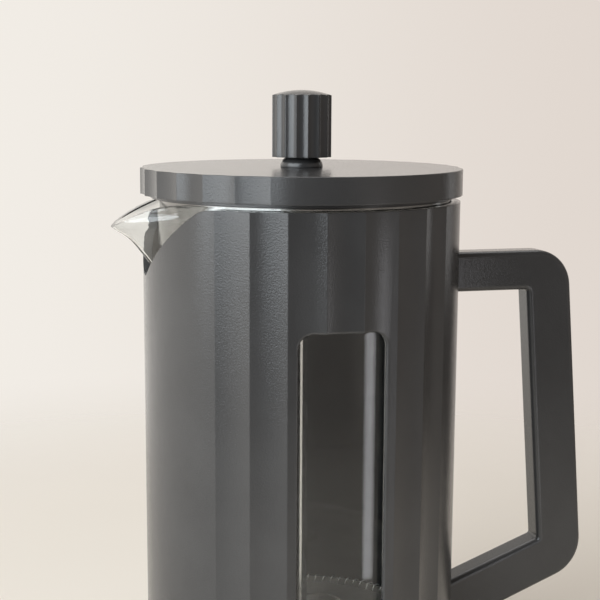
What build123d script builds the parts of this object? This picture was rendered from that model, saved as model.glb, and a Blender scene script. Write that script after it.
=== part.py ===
from build123d import *

import math
import os

# French press: fluted plastic housing, glass carafe, lid, and a plunger with a coil-edged filter.
# Millimetres. The axis is Z, the table is z = 0, the handle points to +X, the spout to -X.

# Levels above the table
LID_TOP = 163.4
LID_BOTTOM = 155.6
HOUSING_TOP = 153.55
HOUSING_BOTTOM = 0.8
FLOOR_TOP = 6.0
GLASS_BOTTOM = 7.2
GLASS_RIM = 154.2

# Housing
HOUSING_RADIUS = 48.3
HOUSING_DRAFT = 0.15
HOUSING_BORE = 45.7
FLOOR_HOLE = 26.0
FLUTES = 7
FLUTE_DEPTH = 0.87
HOUSING_PITCH = 90 / FLUTES
WINDOW_WIDTH = 25.6
WINDOW_BOTTOM = 15.0
WINDOW_TOP = 119.8
WINDOW_CORNER = 4.3
WINDOW_EDGE = 0.7
NOTCH_APEX = 130.4
NOTCH_SLOPE = 36.8
NOTCH_ROOT_RADIUS = 5.0
NOTCH_SHOULDER_RADIUS = 8.0
NOTCH_HALF_WIDTH = 36.0

# Silicone rings
FOOT_INNER = 39.0
FOOT_OUTER = 44.0
FOOT_TOP = 2.8
CUSHION_INNER = 29.0
CUSHION_OUTER = 38.0
CUSHION_SEAT = 5.4

# Handle, in the X-Z plane
HANDLE_WIDTH = 9.0
HANDLE_EDGE = 1.7
HANDLE_OUTER_TOP = (88.0, 136.4)
HANDLE_OUTER_LOW = (96.2, 31.2)
HANDLE_INNER_LOW = (80.1, 40.8)
HANDLE_INNER_TOP = (73.9, 123.8)
HANDLE_ROOT_X = 40.0
LOWER_ARM_UNDER_ROOT = 8.6
LOWER_ARM_TOP_ROOT = 25.3
OUTER_TOP_RADIUS = 12.0
OUTER_LOW_RADIUS = 13.0
INNER_RADIUS = 0.8

# Handle screws
SCREW_LEVELS = (130.1, 22.0)
SCREW_HEAD_X = 45.9
SCREW_HEAD_RADIUS = 3.4
SCREW_HEAD_DEPTH = 1.4
SCREW_SHANK_RADIUS = 1.5
SCREW_END_X = 60.0
SCREW_DRIVE_RADIUS = 1.2
SCREW_DRIVE_DEPTH = 0.9

# Glass
GLASS_RADIUS = 45.2
GLASS_WALL = 1.8
GLASS_FLOOR = 2.4
GLASS_CORNER = 9.0

# Spout: reach of its underside from the axis at rising levels, and how it widens from its root
SPOUT_LEVELS = (135.3, 138.3, 141.1, 143.8, 145.8, 150.0, 156.0)
SPOUT_REACH = (46.8, 49.1, 51.4, 54.6, 58.1, 58.1, 58.1)
SPOUT_TIP_RADIUS = 3.2
SPOUT_TIP_CUT = 0.27
SPOUT_ROOT_LEVEL = 132.4
SPOUT_ROOT_HALF = 6.0
SPOUT_ROOT_INSET = 1.0
SPOUT_START = 132.0
SPOUT_SPREAD = 1.25
SPOUT_OVERLAP = 0.2
RIM_DROP_START = 34.0
RIM_DROP_RADIUS = 41.0

# Lid
LID_RADIUS = 48.9
LID_PLATE = 2.4
LID_WALL = 2.1
LID_PITCH = 12.0
LID_FLUTE_DEPTH = 0.8
LID_ZONE_ANGLE = 23.0
LID_EDGE = 0.4
LID_EDGE_CLEAR = 0.2
LID_RIB_INNER = 44.0
LID_RIB_OUTER = 46.0
LID_LIP_INNER = 45.1
LID_LIP_DEPTH = 0.65
LID_BOSS_RADIUS = 9.0
LINER_SHEET = 1.0
LINER_FLANGE_RADIUS = 45.0
LINER_SKIRT_RADIUS = 43.1
LINER_SKIRT_BOTTOM = 141.0
LINER_SLOT_WIDTH = 1.8
LINER_SLOT_HEIGHT = 7.5
LINER_SLOT_LEVEL = 147.5
LINER_SLOT_PITCH = 4.4
LINER_SLOTS = 7
LINER_HOLE = 4.35

# Guide collar, its nut, and the rod's running fit
COLLAR_TOP = 166.3
COLLAR_BASE_RADIUS = 6.4
COLLAR_BULGE_RADIUS = 6.1
COLLAR_BULGE_SHARE = 0.6
COLLAR_TOP_RADIUS = 4.6
COLLAR_SHANK_RADIUS = 4.3
COLLAR_SHANK_END = 151.2
ROD_RADIUS = 2.4
ROD_FIT = 0.06
NUT_ACROSS = 15.0
NUT_HEIGHT = 2.6

# Knob
KNOB_RADIUS = 9.1
KNOB_BOTTOM = 166.5
KNOB_SIDE_TOP = 185.0
KNOB_APEX = 186.6
KNOB_FLUTES = 16
KNOB_FLUTE_DEPTH = 0.7
KNOB_RIDGE_ANGLE = -2.9
KNOB_INSERT_RADIUS = 4.0
KNOB_INSERT_TOP = 179.5
ROD_TOP = 178.5

# Filter stack, from the bottom up
HUB_BOTTOM = 11.0
HUB_HEIGHT = 4.4
HUB_ACROSS = 9.0
STUD_RADIUS = 2.0
STUD_END = 11.6
CROSS_SHEET = 0.6
CROSS_RADIUS = 38.0
CROSS_LIP = 1.6
INNER_OPENING = (12.0, 19.0, 0.4)
OUTER_OPENING = (24.0, 33.0, 0.55)
MESH_SHEET = 0.3
MESH_RADIUS = 43.0
MESH_RIM = 1.5
PLATE_SHEET = 0.6
PLATE_RADIUS = 41.2
PLATE_COLLAR_RADIUS = 39.45
PLATE_COLLAR_HEIGHT = 3.0
PLATE_HOLE_CENTRE = 22.5
PLATE_HOLE_RADIUS = 8.5
WASHER_RADIUS = 6.0
WASHER_SHEET = 1.2
OPENINGS = 6

# Edge spring
SPRING_RING_RADIUS = 41.1
SPRING_COIL_RADIUS = 1.25
SPRING_WIRE_RADIUS = 0.3
SPRING_CURLS = 90
SPRING_OPEN_ANGLE = 3.0
SPRING_FLOAT = 0.05
SPRING_GAP_STEPS = 24

# Cutting tools run past the faces they cut, and reach out past the whole press
PAST = 1.0
FAR = 70.0
HEX_SIDES = 6

CROSS_BOTTOM = HUB_BOTTOM + HUB_HEIGHT
MESH_BOTTOM = CROSS_BOTTOM + CROSS_SHEET
PLATE_BOTTOM = MESH_BOTTOM + MESH_SHEET
PLATE_TOP = PLATE_BOTTOM + PLATE_SHEET
WASHER_TOP = PLATE_TOP + WASHER_SHEET
SPRING_LEVEL = PLATE_TOP + SPRING_COIL_RADIUS + SPRING_WIRE_RADIUS + SPRING_FLOAT
LINER_TOP = GLASS_RIM + LINER_SHEET
LID_PLATE_BOTTOM = LID_TOP - LID_PLATE
FROM_BOTTOM = (Align.CENTER, Align.CENTER, Align.MIN)


def polar(radius, angle):
    """Point of the plan view at an angle in degrees."""
    turn = math.radians(angle)
    return (radius * math.cos(turn), radius * math.sin(turn))


def disc(radius, bottom, top):
    """Upright cylinder on the axis between two levels."""
    return Pos(0, 0, bottom) * Cylinder(radius, top - bottom, align=FROM_BOTTOM)


def ring(inner, outer, bottom, top):
    """Upright ring on the axis between two levels."""
    return disc(outer, bottom, top) - disc(inner, bottom - PAST, top + PAST)


def hole(radius, bottom, top):
    """Cutter on the axis that runs past both levels."""
    return disc(radius, bottom - PAST, top + PAST)


def bar_x(radius, start, end, level):
    """Round bar along X at a level."""
    return Pos(start, 0, level) * Rot(0, 90, 0) * Cylinder(radius, end - start, align=FROM_BOTTOM)


def round_corner(face, corner, radius):
    """Round the corner of a flat face nearest to a point."""
    vertex = face.vertices().sort_by_distance((corner[0], corner[1], 0))[0]
    return fillet(vertex, radius)


def fluted_face(radius, depth, pitch, flutes, zones):
    """Plan face with a run of concave flutes centred on each zone angle and plain arcs between."""
    edges = []
    half_zone = flutes * pitch / 2
    for number, zone in enumerate(zones):
        for flute in range(flutes):
            left = zone - half_zone + flute * pitch
            middle = left + pitch / 2
            right = left + pitch
            arc = ThreePointArc(polar(radius, left), polar(radius - depth, middle), polar(radius, right))
            edges.append(arc)
        plain = 360 / len(zones) - flutes * pitch
        if plain > pitch / 2:
            end = zone + half_zone
            middle = end + plain / 2
            edges.append(ThreePointArc(polar(radius, end), polar(radius, middle), polar(radius, end + plain)))
    return make_face(edges)


def save(shape, node):
    """Write one sub-part."""
    export_step(shape, "parts/" + node + ".step")


os.makedirs("parts", exist_ok=True)

# Housing: a drafted fluted shell with two windows and a notch for the spout
housing_outline = fluted_face(HOUSING_RADIUS, FLUTE_DEPTH, HOUSING_PITCH, FLUTES, (-90, 90))
housing_block = extrude(Pos(0, 0, HOUSING_TOP) * housing_outline, HOUSING_TOP - HOUSING_BOTTOM,
                        dir=(0, 0, -1), taper=HOUSING_DRAFT)
housing = housing_block - disc(HOUSING_BORE, FLOOR_TOP, HOUSING_TOP + PAST)
housing -= hole(FLOOR_HOLE, HOUSING_BOTTOM, FLOOR_TOP)
housing -= ring(FOOT_INNER, FOOT_OUTER, HOUSING_BOTTOM - PAST, FOOT_TOP)
housing -= ring(CUSHION_INNER, CUSHION_OUTER, CUSHION_SEAT, FLOOR_TOP + PAST)

window_plane = Plane.XZ * Pos(0, (WINDOW_TOP + WINDOW_BOTTOM) / 2)
window_face = RectangleRounded(WINDOW_WIDTH, WINDOW_TOP - WINDOW_BOTTOM, WINDOW_CORNER)
housing -= extrude(window_plane * window_face, FAR, both=True)


def on_window_outline(edge):
    """True for an edge of a window that lies on the fluted outer wall."""
    for end in edge.vertices():
        at_window = WINDOW_BOTTOM - PAST < end.Z < WINDOW_TOP + PAST
        if not at_window or math.hypot(end.X, end.Y) < HOUSING_BORE + WINDOW_EDGE:
            return False
    return True


housing = fillet(housing.edges().filter_by(on_window_outline), WINDOW_EDGE)

notch_shoulder = (HOUSING_TOP - NOTCH_APEX) / math.tan(math.radians(NOTCH_SLOPE))
notch_face = make_face(Polyline(
    (0, NOTCH_APEX),
    (notch_shoulder, HOUSING_TOP),
    (NOTCH_HALF_WIDTH, HOUSING_TOP),
    (NOTCH_HALF_WIDTH, HOUSING_TOP + PAST),
    (-NOTCH_HALF_WIDTH, HOUSING_TOP + PAST),
    (-NOTCH_HALF_WIDTH, HOUSING_TOP),
    (-notch_shoulder, HOUSING_TOP),
    close=True,
))
notch_face = round_corner(notch_face, (0, NOTCH_APEX), NOTCH_ROOT_RADIUS)
notch_face = round_corner(notch_face, (notch_shoulder, HOUSING_TOP), NOTCH_SHOULDER_RADIUS)
notch_face = round_corner(notch_face, (-notch_shoulder, HOUSING_TOP), NOTCH_SHOULDER_RADIUS)
housing -= extrude(Plane.YZ * notch_face, FAR, dir=(-1, 0, 0))

# Handle: a flat bar with rounded edges, bent into a D and seated on the housing wall
handle_face = make_face(Polyline(
    (HANDLE_ROOT_X, HANDLE_OUTER_TOP[1]),
    HANDLE_OUTER_TOP,
    HANDLE_OUTER_LOW,
    (HANDLE_ROOT_X, LOWER_ARM_UNDER_ROOT),
    (HANDLE_ROOT_X, LOWER_ARM_TOP_ROOT),
    HANDLE_INNER_LOW,
    HANDLE_INNER_TOP,
    (HANDLE_ROOT_X, HANDLE_INNER_TOP[1]),
    close=True,
))
handle_face = round_corner(handle_face, HANDLE_OUTER_TOP, OUTER_TOP_RADIUS)
handle_face = round_corner(handle_face, HANDLE_OUTER_LOW, OUTER_LOW_RADIUS)
handle_face = round_corner(handle_face, HANDLE_INNER_LOW, INNER_RADIUS)
handle_face = round_corner(handle_face, HANDLE_INNER_TOP, INNER_RADIUS)
handle = extrude(Plane.XZ * handle_face, HANDLE_WIDTH / 2, both=True)
side_faces = handle.faces().filter_by(Axis.Y)
long_edges = [edge for edge in side_faces.edges() if edge.center().X > HANDLE_ROOT_X + PAST]
handle = fillet(long_edges, HANDLE_EDGE)
handle -= housing_block

# Screws from inside the housing into the two arms
screws = []
for level in SCREW_LEVELS:
    cone = Cone(SCREW_HEAD_RADIUS, SCREW_SHANK_RADIUS, SCREW_HEAD_DEPTH, align=FROM_BOTTOM)
    head = Pos(SCREW_HEAD_X, 0, level) * Rot(0, 90, 0) * cone
    shank = bar_x(SCREW_SHANK_RADIUS, SCREW_HEAD_X + SCREW_HEAD_DEPTH / 2, SCREW_END_X, level)
    screw = head + shank
    housing -= screw
    housing -= bar_x(SCREW_HEAD_RADIUS, HOUSING_BORE - SCREW_HEAD_RADIUS, SCREW_HEAD_X, level)
    handle -= screw
    drive = extrude(RegularPolygon(SCREW_DRIVE_RADIUS, HEX_SIDES), SCREW_DRIVE_DEPTH)
    screws.append(screw - Pos(SCREW_HEAD_X, 0, level) * Rot(0, 90, 0) * drive)

foot_ring = ring(FOOT_INNER, FOOT_OUTER, 0, FOOT_TOP)
glass_cushion = ring(CUSHION_INNER, CUSHION_OUTER, CUSHION_SEAT, GLASS_BOTTOM)

# Glass carafe: a round beaker whose rim is drawn out and down into a pouring spout


def beaker(radius, bottom, corner, top):
    """Round-bottomed solid cylinder."""
    solid = disc(radius, bottom, top)
    return fillet(solid.edges().sort_by(Axis.Z)[0], corner)


def spout(radius, wall):
    """Nose of the spout, set in by a wall thickness, as a loft of level sections."""
    nose_radius = SPOUT_TIP_RADIUS - wall
    root_x = SPOUT_ROOT_HALF - radius
    root = make_face(Polyline(
        (root_x, SPOUT_ROOT_HALF),
        (SPOUT_ROOT_INSET - radius, 0),
        (root_x, -SPOUT_ROOT_HALF),
        close=True,
    ))
    sections = [Pos(0, 0, SPOUT_ROOT_LEVEL) * fillet(root.vertices().sort_by(Axis.X)[0], nose_radius)]
    for level, reach in zip(SPOUT_LEVELS, SPOUT_REACH):
        tip = reach + SPOUT_TIP_CUT * SPOUT_TIP_RADIUS
        half_width = SPOUT_SPREAD * (level - SPOUT_START)
        side = math.atan2(half_width, tip - math.sqrt(GLASS_RADIUS ** 2 - half_width ** 2))
        inner_tip = tip - wall / math.sin(side)
        base = radius - SPOUT_OVERLAP
        middle = inner_tip * math.cos(side)
        run = middle - math.sqrt(max(middle ** 2 - inner_tip ** 2 + base ** 2, 0))
        foot_x = run * math.cos(side) - inner_tip
        foot_y = run * math.sin(side)
        face = make_face(Polyline((foot_x, foot_y), (-inner_tip, 0), (foot_x, -foot_y), close=True))
        sections.append(Pos(0, 0, level) * fillet(face.vertices().sort_by(Axis.X)[0], nose_radius))
    return loft(sections)


def block_xz(left, right, bottom, top):
    """Block across the whole press between two X and two Z values."""
    return Pos((left + right) / 2, 0, (bottom + top) / 2) * Box(right - left, 2 * FAR, top - bottom)


spout_top = SPOUT_LEVELS[-1]
glass_outside = beaker(GLASS_RADIUS, GLASS_BOTTOM, GLASS_CORNER, GLASS_RIM) + spout(GLASS_RADIUS, 0)
glass_inside = beaker(GLASS_RADIUS - GLASS_WALL, GLASS_BOTTOM + GLASS_FLOOR, GLASS_CORNER - GLASS_WALL,
                      spout_top + PAST)
drop_roll = Rot(90, 0, 0) * Cylinder(RIM_DROP_RADIUS, 2 * FAR)
drop_roll = Pos(-RIM_DROP_START, 0, GLASS_RIM - RIM_DROP_RADIUS) * drop_roll
rim_drop = block_xz(-FAR, -RIM_DROP_START, GLASS_RIM - RIM_DROP_RADIUS / 2, GLASS_RIM) - drop_roll
glass_carafe = glass_outside - block_xz(-FAR, FAR, GLASS_RIM, spout_top + PAST) - rim_drop
glass_carafe = glass_carafe - spout(GLASS_RADIUS - GLASS_WALL, GLASS_WALL) - glass_inside

# Lid cover: a fluted cap with a boss and a rib that press on the liner, and a lip round its flange
lid_face = fluted_face(LID_RADIUS, LID_FLUTE_DEPTH, LID_PITCH, FLUTES, (LID_ZONE_ANGLE - 180, LID_ZONE_ANGLE))
lid_cover = extrude(Pos(0, 0, LID_BOTTOM) * lid_face, LID_TOP - LID_BOTTOM)
lid_trim = disc(LID_RADIUS + LID_EDGE_CLEAR, LID_BOTTOM, LID_TOP)
lid_cover &= chamfer(lid_trim.edges().sort_by(Axis.Z)[-1], LID_EDGE)
lid_cover -= disc(LID_RADIUS - LID_WALL, LID_BOTTOM - PAST, LID_PLATE_BOTTOM)
lid_cover += disc(LID_BOSS_RADIUS, LINER_TOP, LID_PLATE_BOTTOM)
lid_cover += ring(LID_RIB_INNER, LID_RIB_OUTER, LINER_TOP, LID_PLATE_BOTTOM)
lid_cover += ring(LID_LIP_INNER, LID_RIB_OUTER, LINER_TOP - LID_LIP_DEPTH, LINER_TOP)
lid_cover -= hole(LINER_HOLE, LID_BOTTOM, LID_TOP)

# Lid liner: a pressed steel cup with a straining skirt, which rests on the glass rim
lid_liner = disc(LINER_FLANGE_RADIUS, GLASS_RIM, LINER_TOP)
lid_liner += ring(LINER_SKIRT_RADIUS - LINER_SHEET, LINER_SKIRT_RADIUS, LINER_SKIRT_BOTTOM, GLASS_RIM)
lid_liner -= hole(LINER_HOLE, GLASS_RIM, LINER_TOP)
slot_plane = Plane.YZ * Pos(0, LINER_SLOT_LEVEL)
slot_cutter = extrude(slot_plane * SlotOverall(LINER_SLOT_HEIGHT, LINER_SLOT_WIDTH, rotation=90), FAR)
for side in (LID_ZONE_ANGLE - 90, LID_ZONE_ANGLE + 90):
    for number in range(LINER_SLOTS):
        turn = (number - (LINER_SLOTS - 1) / 2) * LINER_SLOT_PITCH
        lid_liner -= Rot(0, 0, side + turn) * slot_cutter

# Guide collar with a domed head, its shank held under the liner by a nut
bore = ROD_RADIUS + ROD_FIT
bulge_level = LID_TOP + (COLLAR_TOP - LID_TOP) * COLLAR_BULGE_SHARE
collar_edges = [
    Polyline(
        (COLLAR_TOP_RADIUS, COLLAR_TOP),
        (bore, COLLAR_TOP),
        (bore, COLLAR_SHANK_END),
        (COLLAR_SHANK_RADIUS, COLLAR_SHANK_END),
        (COLLAR_SHANK_RADIUS, LID_TOP),
        (COLLAR_BASE_RADIUS, LID_TOP),
    ),
    ThreePointArc(
        (COLLAR_BASE_RADIUS, LID_TOP),
        (COLLAR_BULGE_RADIUS, bulge_level),
        (COLLAR_TOP_RADIUS, COLLAR_TOP),
    ),
]
guide_collar = revolve(Plane.XZ * make_face(collar_edges), Axis.Z)
nut_bottom = GLASS_RIM - NUT_HEIGHT
nut_outline = RegularPolygon(NUT_ACROSS / 2, HEX_SIDES, major_radius=False)
collar_nut = extrude(Pos(0, 0, nut_bottom) * nut_outline, NUT_HEIGHT)
collar_nut -= hole(COLLAR_SHANK_RADIUS, nut_bottom, GLASS_RIM)

# Knob: a fluted barrel with a low dome, on a threaded brass insert
knob_face = fluted_face(KNOB_RADIUS, KNOB_FLUTE_DEPTH, 360 / KNOB_FLUTES, KNOB_FLUTES, (KNOB_RIDGE_ANGLE,))
knob = extrude(Pos(0, 0, KNOB_BOTTOM) * knob_face, KNOB_APEX + PAST - KNOB_BOTTOM)
dome_rise = KNOB_APEX - KNOB_SIDE_TOP
dome_radius = (KNOB_RADIUS ** 2 + dome_rise ** 2) / (2 * dome_rise)
knob &= Pos(0, 0, KNOB_APEX - dome_radius) * Sphere(dome_radius)
knob -= disc(KNOB_INSERT_RADIUS, KNOB_BOTTOM - PAST, KNOB_INSERT_TOP)
knob_insert = disc(KNOB_INSERT_RADIUS, KNOB_BOTTOM, KNOB_INSERT_TOP)
knob_insert -= disc(ROD_RADIUS, KNOB_BOTTOM - PAST, ROD_TOP)

# Rod with a reduced stud, and the stop washer on its shoulder
rod = disc(ROD_RADIUS, WASHER_TOP, ROD_TOP) + disc(STUD_RADIUS, STUD_END, WASHER_TOP)
stop_washer = ring(STUD_RADIUS, WASHER_RADIUS, PLATE_TOP, WASHER_TOP)

# Filter: hub nut, cross plate, mesh screen and spring plate on the stud
hub_outline = RegularPolygon(HUB_ACROSS / 2, HEX_SIDES, major_radius=False)
hub_nut = extrude(Pos(0, 0, HUB_BOTTOM) * hub_outline, HUB_HEIGHT)
hub_nut -= hole(STUD_RADIUS, HUB_BOTTOM, CROSS_BOTTOM)

cross_plate = disc(CROSS_RADIUS, CROSS_BOTTOM, MESH_BOTTOM)
cross_plate += ring(CROSS_RADIUS - CROSS_SHEET, CROSS_RADIUS, CROSS_BOTTOM - CROSS_LIP, CROSS_BOTTOM)
cross_plate -= hole(STUD_RADIUS, CROSS_BOTTOM, MESH_BOTTOM)
for inner, outer, share in (INNER_OPENING, OUTER_OPENING):
    span = 360 / OPENINGS * share
    arc = CenterArc((0, 0), (inner + outer) / 2, -span / 2, span)
    opening = Pos(0, 0, CROSS_BOTTOM - PAST) * SlotArc(arc, outer - inner)
    cutter = extrude(opening, CROSS_SHEET + 2 * PAST)
    for number in range(OPENINGS):
        cross_plate -= Rot(0, 0, number * 360 / OPENINGS) * cutter

mesh_screen = disc(MESH_RADIUS, MESH_BOTTOM, PLATE_BOTTOM)
mesh_screen += ring(MESH_RADIUS - MESH_SHEET, MESH_RADIUS, PLATE_BOTTOM, PLATE_BOTTOM + MESH_RIM)
mesh_screen -= hole(STUD_RADIUS, MESH_BOTTOM, PLATE_BOTTOM)

collar_top = PLATE_TOP + PLATE_COLLAR_HEIGHT
spring_plate = disc(PLATE_RADIUS, PLATE_BOTTOM, PLATE_TOP)
spring_plate += ring(PLATE_COLLAR_RADIUS - PLATE_SHEET, PLATE_COLLAR_RADIUS, PLATE_TOP, collar_top)
spring_plate -= hole(STUD_RADIUS, PLATE_BOTTOM, PLATE_TOP)
for number in range(OPENINGS):
    plate_hole = Pos(PLATE_HOLE_CENTRE, 0, 0) * hole(PLATE_HOLE_RADIUS, PLATE_BOTTOM, PLATE_TOP)
    spring_plate -= Rot(0, 0, number * 360 / OPENINGS) * plate_hole

# Edge spring: one wire wound round a ring, open at one place, made of arcs of a quarter curl


def spring_point(turn):
    """Centre of the wire after a number of curls."""
    along = math.radians(SPRING_OPEN_ANGLE / 2 + turn * (360 - SPRING_OPEN_ANGLE) / SPRING_CURLS)
    curl = 2 * math.pi * turn
    radius = SPRING_RING_RADIUS + SPRING_COIL_RADIUS * math.cos(curl)
    level = SPRING_LEVEL + SPRING_COIL_RADIUS * math.sin(curl)
    return Vector(radius * math.cos(along), radius * math.sin(along), level)


def spring_direction(turn):
    """Unit direction of the wire."""
    step = 0.0005
    return (spring_point(turn + step) - spring_point(turn - step)).normalized()


def biarc(first, second):
    """Two arcs along the wire, from one number of curls to another, that meet smoothly."""
    start, end = spring_point(first), spring_point(second)
    start_way, end_way = spring_direction(first), spring_direction(second)
    chord = end - start
    a = 2 * (1 - start_way.dot(end_way))
    b = 2 * chord.dot(start_way + end_way)
    c = -chord.dot(chord)
    reach = (-b + math.sqrt(b * b - 4 * a * c)) / (2 * a)
    leave = start + start_way * reach
    arrive = end - end_way * reach
    middle = (leave + arrive) * 0.5
    middle_way = (arrive - leave).normalized()
    return [Edge.make_tangent_arc(start, start_way, middle), Edge.make_tangent_arc(middle, middle_way, end)]


spring_edges = []
for half in range(2 * SPRING_CURLS):
    spring_edges += biarc(half / 2, (half + 1) / 2)
spring_start = Plane(spring_point(0), z_dir=spring_direction(0))
edge_spring = sweep(spring_start * Circle(SPRING_WIRE_RADIUS), path=Wire(spring_edges))

steps = SPRING_GAP_STEPS
points = [spring_point(step / steps) for step in range(steps * SPRING_CURLS + 1)]
least_gap = 2 * SPRING_RING_RADIUS
for place, point in enumerate(points):
    neighbours = points[place + steps // 2:place + 5 * steps // 2]
    if place < steps:
        neighbours = neighbours + points[-steps:]
    for other in neighbours:
        least_gap = min(least_gap, (point - other).length - 2 * SPRING_WIRE_RADIUS)
print("edge spring: least gap to itself", round(least_gap, 2), "mm")

save(housing, "housing")
save(handle, "handle")
save(Compound(screws), "handle_screws")
save(foot_ring, "foot_ring")
save(glass_cushion, "glass_cushion")
save(glass_carafe, "glass_carafe")
save(lid_cover, "lid_cover")
save(lid_liner, "lid_liner")
save(guide_collar, "guide_collar")
save(collar_nut, "collar_nut")
save(knob, "knob")
save(knob_insert, "knob_insert")
save(rod, "rod")
save(stop_washer, "stop_washer")
save(spring_plate, "spring_plate")
save(edge_spring, "edge_spring")
save(mesh_screen, "mesh_screen")
save(cross_plate, "cross_plate")
save(hub_nut, "hub_nut")
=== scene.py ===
import math

import bpy
from mathutils import Matrix, Vector


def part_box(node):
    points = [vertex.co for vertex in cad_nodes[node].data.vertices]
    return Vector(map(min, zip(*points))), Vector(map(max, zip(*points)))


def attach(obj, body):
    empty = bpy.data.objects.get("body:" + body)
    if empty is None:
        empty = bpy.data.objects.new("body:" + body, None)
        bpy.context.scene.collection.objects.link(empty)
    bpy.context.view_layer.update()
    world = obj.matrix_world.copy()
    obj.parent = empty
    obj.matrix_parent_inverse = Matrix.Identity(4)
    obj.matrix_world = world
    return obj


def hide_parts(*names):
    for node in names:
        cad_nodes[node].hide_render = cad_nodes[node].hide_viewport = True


# French press: finishes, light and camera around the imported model. Metres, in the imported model's frame.

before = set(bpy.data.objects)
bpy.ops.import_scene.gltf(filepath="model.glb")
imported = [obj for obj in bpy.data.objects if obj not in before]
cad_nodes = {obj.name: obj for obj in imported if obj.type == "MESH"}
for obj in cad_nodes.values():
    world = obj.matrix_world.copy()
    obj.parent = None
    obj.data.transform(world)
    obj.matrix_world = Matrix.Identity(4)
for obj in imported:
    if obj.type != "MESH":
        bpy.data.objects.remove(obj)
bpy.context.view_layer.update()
lid_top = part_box("lid_cover")[1].z

# Camera at the photograph's viewing angle, for a square picture: degrees, metres, and millimetres of lens
CAMERA_AZIMUTH = -15.1
CAMERA_DISTANCE = 0.4241
CAMERA_ABOVE_LID = 0.02355
CAMERA_PITCH = 8.65
CAMERA_YAW = 0.035
CAMERA_ROLL = 0.3
CAMERA_LENS = 83.35
CAMERA_SENSOR = 36.0
CAMERA_NEAREST = 0.01

# Colours, linear
WHITE = (1.0, 1.0, 1.0)
GREY = (0.044, 0.043, 0.0435)
GREY_LIGHT = (0.0515, 0.0505, 0.051)
NUT_GREY = (0.03, 0.03, 0.03)
SILICONE = (0.022, 0.022, 0.023)
STEEL = (0.60, 0.585, 0.565)
LINER_STEEL = (0.27, 0.265, 0.255)
BRIGHT_STEEL = (0.68, 0.67, 0.655)
ZINC = (0.50, 0.50, 0.50)
BRASS = (0.72, 0.50, 0.22)
GLASS = (0.97, 0.985, 0.98)
GLASS_SHADE = (0.93, 0.94, 0.935)
FLOOR = (0.81, 0.752, 0.675)
WALL_LEFT = (0.885, 0.845, 0.79)
WALL_RIGHT = (0.75, 0.68, 0.625)
DAYLIGHT = (0.86, 0.94, 1.0)
STRIP_TINT = (0.95, 0.95, 1.0)

# Most of a noise texture's values lie in this range
NOISE_RANGE = (0.35, 0.65)

# Plastic: a fine grain over a faint change of tone, with softened edges; the housing's bore has no grain
GRAIN_SCALE = 2100
GRAIN_NOISE_ROUGHNESS = 0.6
GRAIN_STRENGTH = 0.42
GRAIN_DEPTH = 0.00012
PLASTIC_TONE_SCALE = 45
PLASTIC_ROUGHNESS = (0.18, 0.24)
PLASTIC_IOR = 1.58
PLASTIC_EDGE = 0.0005
NUT_EDGE = 0.0003
NUT_LIGHTER = 1.2
EDGE_SAMPLES = 4
HOUSING_SMOOTH_WITHIN = 0.0461
SMOOTH_BORDER = 0.0004

# Silicone: matte with a faint bloom
BLOOM_SCALE = 120
BLOOM_LIGHTER = 1.5
SILICONE_GRAIN_SCALE = 1800
SILICONE_GRAIN_STRENGTH = 0.1
SILICONE_GRAIN_DEPTH = 0.00005
SILICONE_ROUGHNESS = (0.6, 0.75)
SILICONE_IOR = 1.42

# Metals: working marks over a faint change of tone
METAL_TONE_SCALE = 70
METAL_DARKER = 0.88
METAL_MARK_DEPTH = 0.00003

# Woven wire of the mesh screen, with painted shade darkening the gaps between the wires; the wave texture
# goes round by this many radians for each unit of length
WAVE_RADIANS = 20
WOVEN_PITCH = 0.0006
WOVEN_GAP_PAINTED_SHADE = 0.15
WOVEN_PAINTED_SHADE_RANGE = (0.45, 0.75)
WOVEN_ROUGHNESS = (0.6, 0.3)
WOVEN_ROUGHNESS_RANGE = (0.2, 0.9)
WOVEN_STRENGTH = 0.6
WOVEN_DEPTH = 0.0001

# Glass: clear, with faint smears
GLASS_IOR = 1.47
SMEAR_SCALE = 30
SMEAR_ROUGHNESS = (0.0, 0.02)
SMEAR_RANGE = (0.5, 0.8)

# Filter plate with an upturned rim, and the spring wound over that rim
PLATE_SHEET = 0.0006
PLATE_RIM_SHEET = 0.0004
PLATE_RIM_HEIGHT = 0.0022
PLATE_HOLES = 6
PLATE_HOLE_CENTRE = 0.0225
PLATE_HOLE_RADIUS = 0.0085
PLATE_STUD_HOLE = 0.002
ROUND_POINTS = 96
SPRING_WIRE = 0.0003
SPRING_WIRE_ROUNDNESS = 2
SPRING_CURLS = 90
SPRING_CURL_POINTS = 18
SPRING_OPEN_ANGLE = 3.0

# Room around the press: bright behind and on the spout's side, softer in a patch in front on the handle's
# side, dim elsewhere, and weaker overhead
BRIGHT_AZIMUTH = -140
BRIGHT_RISE = 0.25
BRIGHT_FACING = (-0.4, 0.6)
BRIGHT_LEVEL = 1.3
FRONT_AZIMUTH = 62
FRONT_RISE = 0.3
FRONT_FACING = (0.65, 0.79)
FRONT_LEVEL = 0.46
DIM_LEVEL = 0.12
OVERHEAD_RISE = (0.2, 0.55)
OVERHEAD_SHARE = 0.6
WALL_SPREAD = 0.25

# Floor: solid near the press, where its shadow falls, fading out into the room
FLOOR_HALF = 0.7
FLOOR_FADE = (0.16, 0.5)
FLOOR_TONE_SCALE = 6
FLOOR_LIGHTER = 1.02
FLOOR_ROUGHNESS = 0.8


def around(azimuth, distance=1.0, height=0.0):
    """Point at an azimuth round the press: 0 in front, 90 on the handle's side."""
    turn = math.radians(azimuth)
    return Vector((math.sin(turn) * distance, -math.cos(turn) * distance, height))


def on_circle(turn, radius, height=0.0):
    """Point on a circle round the axis, at a turn in radians from the handle's side."""
    return (radius * math.cos(turn), radius * math.sin(turn), height)


def tinted(colour, share):
    """The colour made lighter or darker by a share."""
    return tuple(value * share for value in colour)


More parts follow.
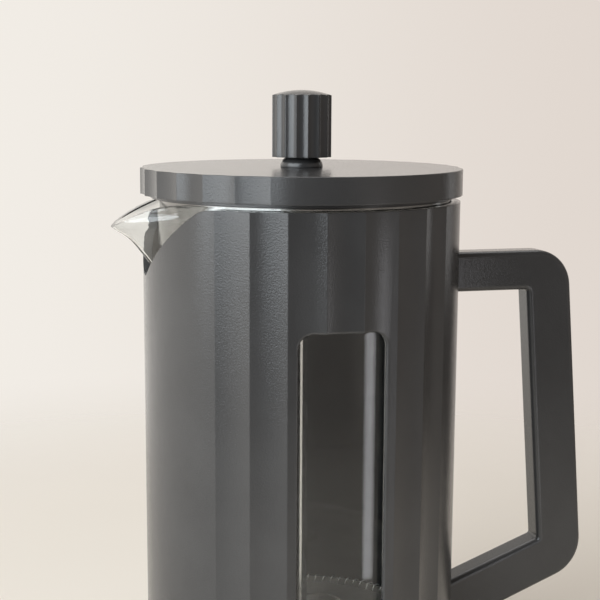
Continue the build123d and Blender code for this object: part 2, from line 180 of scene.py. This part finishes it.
def add_object(name, data):
    """Puts data into the scene as an object."""
    item = bpy.data.objects.new(name, data)
    bpy.context.scene.collection.objects.link(item)
    return item


class NodeTree:
    """A node tree built up one node at a time."""

    def __init__(self, tree, output, coords):
        self.tree = tree
        self.tree.nodes.clear()
        self.output = self.add(output)
        self.coords = self.add("ShaderNodeTexCoord").outputs[coords]

    def add(self, kind, **values):
        node = self.tree.nodes.new(kind)
        for key, value in values.items():
            setattr(node, key, value)
        return node

    def link(self, source, target):
        self.tree.links.new(source, target)

    def noise(self, scale, detail=2.0, roughness=0.5, stretch=None):
        node = self.add("ShaderNodeTexNoise")
        node.inputs["Scale"].default_value = scale
        node.inputs["Detail"].default_value = detail
        node.inputs["Roughness"].default_value = roughness
        place = self.coords
        if stretch is not None:
            mapping = self.add("ShaderNodeMapping")
            mapping.inputs["Scale"].default_value = stretch
            self.link(place, mapping.inputs["Vector"])
            place = mapping.outputs["Vector"]
        self.link(place, node.inputs["Vector"])
        return node.outputs["Fac"]

    def facing(self, direction):
        """How far the coordinates point in a direction."""
        node = self.add("ShaderNodeVectorMath", operation="DOT_PRODUCT")
        self.link(self.coords, node.inputs[0])
        node.inputs[1].default_value = direction
        return node.outputs["Value"]

    def from_axis(self):
        """Distance of the coordinates from the upright axis."""
        flat = self.add("ShaderNodeVectorMath", operation="MULTIPLY")
        self.link(self.coords, flat.inputs[0])
        flat.inputs[1].default_value = (1, 1, 0)
        length = self.add("ShaderNodeVectorMath", operation="LENGTH")
        self.link(flat.outputs["Vector"], length.inputs[0])
        return length.outputs["Value"]

    def span(self, value, results, within=NOISE_RANGE):
        """Goes smoothly from the first result to the second while the value crosses a range."""
        node = self.add("ShaderNodeMapRange", interpolation_type="SMOOTHSTEP")
        node.inputs["From Min"].default_value = within[0]
        node.inputs["From Max"].default_value = within[1]
        node.inputs["To Min"].default_value = results[0]
        node.inputs["To Max"].default_value = results[1]
        self.link(value, node.inputs["Value"])
        return node.outputs["Result"]

    def ramp(self, value, colours, within=NOISE_RANGE):
        """Goes from the first colour to the second while the value crosses a range."""
        node = self.add("ShaderNodeValToRGB")
        for element, colour, position in zip(node.color_ramp.elements, colours, within):
            element.position = position
            element.color = (*colour, 1)
        self.link(value, node.inputs["Fac"])
        return node.outputs["Color"]

    def maths(self, operation, first, second):
        node = self.add("ShaderNodeMath", operation=operation)
        self.link(first, node.inputs[0])
        self.link(second, node.inputs[1])
        return node.outputs["Value"]

    def shader(self, kind, **values):
        """A shader with its sockets set to numbers and colours, or linked to other nodes."""
        node = self.add(kind)
        for key, value in values.items():
            socket = node.inputs[key.replace("_", " ")]
            if hasattr(value, "is_linked"):
                self.link(value, socket)
            elif isinstance(value, tuple):
                socket.default_value = (*value, 1)
            else:
                socket.default_value = value
        return node.outputs[0]

    def blend(self, share, first, second):
        node = self.add("ShaderNodeMixShader")
        self.link(share, node.inputs["Fac"])
        self.link(first, node.inputs[1])
        self.link(second, node.inputs[2])
        return node.outputs["Shader"]

    def finish(self, shader):
        self.link(shader, self.output.inputs["Surface"])


class Material(NodeTree):
    """A surface material in the object's own coordinates."""

    def __init__(self, name):
        self.data = bpy.data.materials.new(name)
        self.data.use_nodes = True
        super().__init__(self.data.node_tree, "ShaderNodeOutputMaterial", "Object")

    def bump(self, height, strength, depth, normal=None):
        node = self.add("ShaderNodeBump")
        node.inputs["Strength"].default_value = strength
        node.inputs["Distance"].default_value = depth
        self.link(height, node.inputs["Height"])
        if normal is not None:
            self.link(normal, node.inputs["Normal"])
        return node.outputs["Normal"]

    def bevel(self, radius):
        node = self.add("ShaderNodeBevel", samples=EDGE_SAMPLES)
        node.inputs["Radius"].default_value = radius
        return node.outputs["Normal"]

    def principled(self, **values):
        return self.shader("ShaderNodeBsdfPrincipled", **values)

    def finish(self, shader):
        super().finish(shader)
        return self.data


# Finishes


def grained_plastic(name, dark, light, edge, smooth_within=0.0):
    """Moulded plastic with softened edges and a fine grain, left smooth within a radius if one is given."""
    make = Material(name)
    grain = make.noise(GRAIN_SCALE, roughness=GRAIN_NOISE_ROUGHNESS)
    if smooth_within:
        border = (smooth_within, smooth_within + SMOOTH_BORDER)
        grain = make.maths("MULTIPLY", grain, make.span(make.from_axis(), (0, 1), border))
    tone = make.noise(PLASTIC_TONE_SCALE, detail=4)
    return make.finish(make.principled(
        Base_Color=make.ramp(tone, (dark, light)),
        Roughness=make.span(grain, PLASTIC_ROUGHNESS),
        IOR=PLASTIC_IOR,
        Normal=make.bump(grain, GRAIN_STRENGTH, GRAIN_DEPTH, make.bevel(edge)),
    ))


def soft_rubber(name, colour):
    """Matte silicone with a faint bloom."""
    make = Material(name)
    bloom = make.noise(BLOOM_SCALE, detail=3)
    grain = make.noise(SILICONE_GRAIN_SCALE)
    return make.finish(make.principled(
        Base_Color=make.ramp(bloom, (colour, tinted(colour, BLOOM_LIGHTER))),
        Roughness=make.span(grain, SILICONE_ROUGHNESS),
        IOR=SILICONE_IOR,
        Normal=make.bump(grain, SILICONE_GRAIN_STRENGTH, SILICONE_GRAIN_DEPTH),
    ))


def metal(name, colour, roughness, stretch=(1, 1, 1), scale=900, strength=0.05):
    """Metal with fine working marks, stretched along one direction where the piece is drawn or brushed."""
    make = Material(name)
    marks = make.noise(scale, detail=3, stretch=stretch)
    tone = make.noise(METAL_TONE_SCALE, detail=3)
    return make.finish(make.principled(
        Base_Color=make.ramp(tone, (tinted(colour, METAL_DARKER), colour)),
        Metallic=1.0,
        Roughness=make.span(marks, roughness),
        Normal=make.bump(marks, strength, METAL_MARK_DEPTH),
    ))


def woven_steel(name, colour, pitch):
    """Fine woven wire: two crossed sets of wires, with painted shade darkening the gaps between."""
    make = Material(name)
    heights = []
    for direction in ("X", "Y"):
        wave = make.add("ShaderNodeTexWave", bands_direction=direction, wave_profile="SIN")
        wave.inputs["Scale"].default_value = 2 * math.pi / (WAVE_RADIANS * pitch)
        make.link(make.coords, wave.inputs["Vector"])
        heights.append(wave.outputs["Fac"])
    crown = make.maths("MAXIMUM", *heights)
    return make.finish(make.principled(
        # painted shade: the gaps between the wires are coloured dark where the openings would be in shade
        Base_Color=make.ramp(crown, (tinted(colour, WOVEN_GAP_PAINTED_SHADE), colour), WOVEN_PAINTED_SHADE_RANGE),
        Metallic=1.0,
        Roughness=make.span(crown, WOVEN_ROUGHNESS, WOVEN_ROUGHNESS_RANGE),
        Normal=make.bump(crown, WOVEN_STRENGTH, WOVEN_DEPTH),
    ))


def clear_glass(name, colour, shade):
    """Clear glass that lets lamp light through to what is inside."""
    make = Material(name)
    smear = make.noise(SMEAR_SCALE, detail=3)
    glass_shader = make.principled(
        Base_Color=colour,
        Roughness=make.span(smear, SMEAR_ROUGHNESS, SMEAR_RANGE),
        IOR=GLASS_IOR,
        Transmission_Weight=1.0,
    )
    clear = make.shader("ShaderNodeBsdfTransparent", Color=shade)
    path = make.add("ShaderNodeLightPath")
    return make.finish(make.blend(path.outputs["Is Shadow Ray"], glass_shader, clear))


grey = grained_plastic("grey_plastic_grained", GREY, GREY_LIGHT, PLASTIC_EDGE)
housing_grey = grained_plastic(
    "housing_plastic_grained", GREY, GREY_LIGHT, PLASTIC_EDGE, smooth_within=HOUSING_SMOOTH_WITHIN
)
nut_plastic = grained_plastic("nut_plastic_grained", NUT_GREY, tinted(NUT_GREY, NUT_LIGHTER), NUT_EDGE)
silicone = soft_rubber("silicone_soft", SILICONE)
satin = metal("satin_steel_brushed", STEEL, roughness=(0.28, 0.42), stretch=(1, 1, 14), scale=500)
liner_steel = metal(
    "liner_steel_pressed", LINER_STEEL, roughness=(0.16, 0.24), stretch=(1, 1, 6), scale=300
)
bright = metal(
    "bright_steel_drawn", BRIGHT_STEEL, roughness=(0.14, 0.22), stretch=(8, 8, 1), scale=300, strength=0.015
)
zinc = metal("zinc_screw", ZINC, roughness=(0.3, 0.45))
brass = metal("brass_turned", BRASS, roughness=(0.22, 0.34), stretch=(1, 1, 10))
mesh_wire = woven_steel("mesh_woven_wire", STEEL, WOVEN_PITCH)
glass = clear_glass("carafe_clear_glass", GLASS, GLASS_SHADE)

finishes = {
    housing_grey: ("housing",),
    grey: ("handle", "lid_cover", "guide_collar", "knob"),
    nut_plastic: ("collar_nut",),
    silicone: ("foot_ring", "glass_cushion"),
    satin: ("spring_plate", "cross_plate"),
    liner_steel: ("lid_liner",),
    bright: ("rod", "stop_washer", "edge_spring", "hub_nut"),
    zinc: ("handle_screws",),
    brass: ("knob_insert",),
    mesh_wire: ("mesh_screen",),
    glass: ("glass_carafe",),
}
for finish, names in finishes.items():
    for name in names:
        data = cad_nodes[name].data
        data.materials.clear()
        data.materials.append(finish)

# Spring plate and edge spring


def add_line(curve, points, closed):
    """Adds a line of points to a curve."""
    spline = curve.splines.new("POLY")
    spline.points.add(len(points) - 1)
    for place, point in zip(spline.points, points):
        place.co = (*point, 1)
    spline.use_cyclic_u = closed


def add_circle(curve, radius, centre=(0.0, 0.0, 0.0)):
    """Adds a round outline to a flat curve."""
    points = []
    for number in range(ROUND_POINTS):
        x, y, z = on_circle(2 * math.pi * number / ROUND_POINTS, radius)
        points.append((centre[0] + x, centre[1] + y, z))
    add_line(curve, points, closed=True)


def flat_curve(name, bottom, top):
    """A curve for sheet metal that fills its outline between two levels."""
    curve = bpy.data.curves.new(name, "CURVE")
    curve.dimensions = "2D"
    curve.fill_mode = "BOTH"
    curve.extrude = (top - bottom) / 2
    return curve


def plunger_piece(curve, level, finish, replaced=None):
    """Puts a curve into the scene as a piece that moves with the plunger."""
    curve.materials.append(finish)
    piece = add_object(curve.name, curve)
    piece.location.z = level
    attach(piece, "plunger")
    if replaced:
        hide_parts(replaced)


plate_low, plate_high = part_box("spring_plate")
plate_radius = plate_high.x
plate_top = plate_low.z + PLATE_SHEET
plate = flat_curve("filter_spring_plate", plate_low.z, plate_top)
add_circle(plate, plate_radius)
add_circle(plate, PLATE_STUD_HOLE)
for number in range(PLATE_HOLES):
    add_circle(plate, PLATE_HOLE_RADIUS, on_circle(2 * math.pi * number / PLATE_HOLES, PLATE_HOLE_CENTRE))
plunger_piece(plate, plate_low.z + PLATE_SHEET / 2, satin, "spring_plate")

rim = flat_curve("filter_plate_rim", plate_top, plate_top + PLATE_RIM_HEIGHT)
add_circle(rim, plate_radius)
add_circle(rim, plate_radius - PLATE_RIM_SHEET)
plunger_piece(rim, plate_top + PLATE_RIM_HEIGHT / 2, satin)

spring_low, spring_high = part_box("edge_spring")
curl_radius = (spring_high.z - spring_low.z) / 2 - SPRING_WIRE
ring_radius = spring_high.y - curl_radius - SPRING_WIRE
spring_steps = SPRING_CURLS * SPRING_CURL_POINTS
spring_points = []
for step in range(spring_steps + 1):
    share = step / spring_steps
    along = math.radians(SPRING_OPEN_ANGLE / 2 + share * (360 - SPRING_OPEN_ANGLE))
    curl = 2 * math.pi * SPRING_CURLS * share
    radius = ring_radius + curl_radius * math.cos(curl)
    spring_points.append(on_circle(along, radius, curl_radius * math.sin(curl)))
spring = bpy.data.curves.new("filter_edge_spring", "CURVE")
spring.dimensions = "3D"
spring.bevel_depth = SPRING_WIRE
spring.bevel_resolution = SPRING_WIRE_ROUNDNESS
spring.use_fill_caps = True
add_line(spring, spring_points, closed=False)
plunger_piece(spring, (spring_low.z + spring_high.z) / 2, bright, "edge_spring")

# Floor
floor_mesh = bpy.data.meshes.new("floor")
sides = ((-1, -1), (1, -1), (1, 1), (-1, 1))
floor_mesh.from_pydata([(FLOOR_HALF * x, FLOOR_HALF * y, 0) for x, y in sides], [], [(0, 1, 2, 3)])
floor = add_object("floor", floor_mesh)
make = Material("floor_plain")
plain = make.principled(
    Base_Color=make.ramp(make.noise(FLOOR_TONE_SCALE), (FLOOR, tinted(FLOOR, FLOOR_LIGHTER))),
    Roughness=FLOOR_ROUGHNESS,
)
fade = make.span(make.from_axis(), (0, 1), FLOOR_FADE)
open_room = make.shader("ShaderNodeBsdfTransparent")
floor_mesh.materials.append(make.finish(make.blend(fade, plain, open_room)))

# Room
world = bpy.data.worlds.new("pale_room")
bpy.context.scene.world = world
world.use_nodes = True
make = NodeTree(world.node_tree, "ShaderNodeOutputWorld", "Generated")
picture_left = around(CAMERA_AZIMUTH - 90)
across = make.span(make.facing(picture_left), (0, 1), (-WALL_SPREAD, WALL_SPREAD))
wall = make.ramp(across, (WALL_RIGHT, WALL_LEFT), (0, 1))
bright_side = around(BRIGHT_AZIMUTH, height=BRIGHT_RISE).normalized()
front_side = around(FRONT_AZIMUTH, height=FRONT_RISE).normalized()
level = make.maths(
    "MAXIMUM",
    make.span(make.facing(bright_side), (DIM_LEVEL, BRIGHT_LEVEL), BRIGHT_FACING),
    make.span(make.facing(front_side), (DIM_LEVEL, FRONT_LEVEL), FRONT_FACING),
)
overhead = make.span(make.facing((0, 0, 1)), (1, OVERHEAD_SHARE), OVERHEAD_RISE)
level = make.maths("MULTIPLY", level, overhead)
room_light = make.shader("ShaderNodeBackground", Color=wall, Strength=level)
room_seen = make.shader("ShaderNodeBackground", Color=wall, Strength=1.0)
path = make.add("ShaderNodeLightPath")
seen = make.maths("MAXIMUM", path.outputs["Is Camera Ray"], path.outputs["Is Transmission Ray"])
make.finish(make.blend(seen, room_light, room_seen))

# Lamps


def area_light(name, place, aim_height, width, tall, power, colour=WHITE, gloss_alone=False):
    """Soft box aimed at the press's axis; one for gloss alone leaves no pool of light on the floor."""
    data = bpy.data.lights.new(name, "AREA")
    data.shape = "RECTANGLE"
    data.size = width
    data.size_y = tall
    data.energy = power
    data.color = colour
    lamp = add_object(name, data)
    lamp.location = place
    aim = Vector((0, 0, aim_height)) - lamp.location
    lamp.rotation_euler = aim.to_track_quat("-Z", "Y").to_euler()
    lamp.visible_camera = False
    lamp.visible_diffuse = not gloss_alone


area_light(
    "window_light", around(-60, distance=1.0, height=0.515), aim_height=0.3,
    width=1.27, tall=1.0, power=15.6, colour=DAYLIGHT,
)
area_light(
    "side_light", around(110, distance=0.5, height=0.26), aim_height=0.2,
    width=0.05, tall=0.4, power=0.08, gloss_alone=True,
)
area_light(
    "top_light", around(150, distance=0.35, height=1.0), aim_height=0.1,
    width=0.8, tall=0.8, power=3.0,
)
area_light(
    "strip_light", around(32.6, distance=0.171, height=0.065), aim_height=0.065,
    width=0.021, tall=0.13, power=0.02, colour=STRIP_TINT, gloss_alone=True,
)

# Camera
camera_data = bpy.data.cameras.new("camera")
camera_data.sensor_width = CAMERA_SENSOR
camera_data.lens = CAMERA_LENS
camera_data.clip_start = CAMERA_NEAREST
camera = add_object("camera", camera_data)
camera.location = around(CAMERA_AZIMUTH, CAMERA_DISTANCE, lid_top + CAMERA_ABOVE_LID)
pitch = math.radians(CAMERA_PITCH)
look = -around(CAMERA_AZIMUTH + CAMERA_YAW) * math.cos(pitch) - Vector((0, 0, math.sin(pitch)))
roll = Matrix.Rotation(math.radians(CAMERA_ROLL), 3, "Z")
camera.rotation_euler = (look.to_track_quat("-Z", "Y").to_matrix() @ roll).to_euler()
bpy.context.scene.camera = camera

bpy.context.scene.view_settings.view_transform = "Standard"
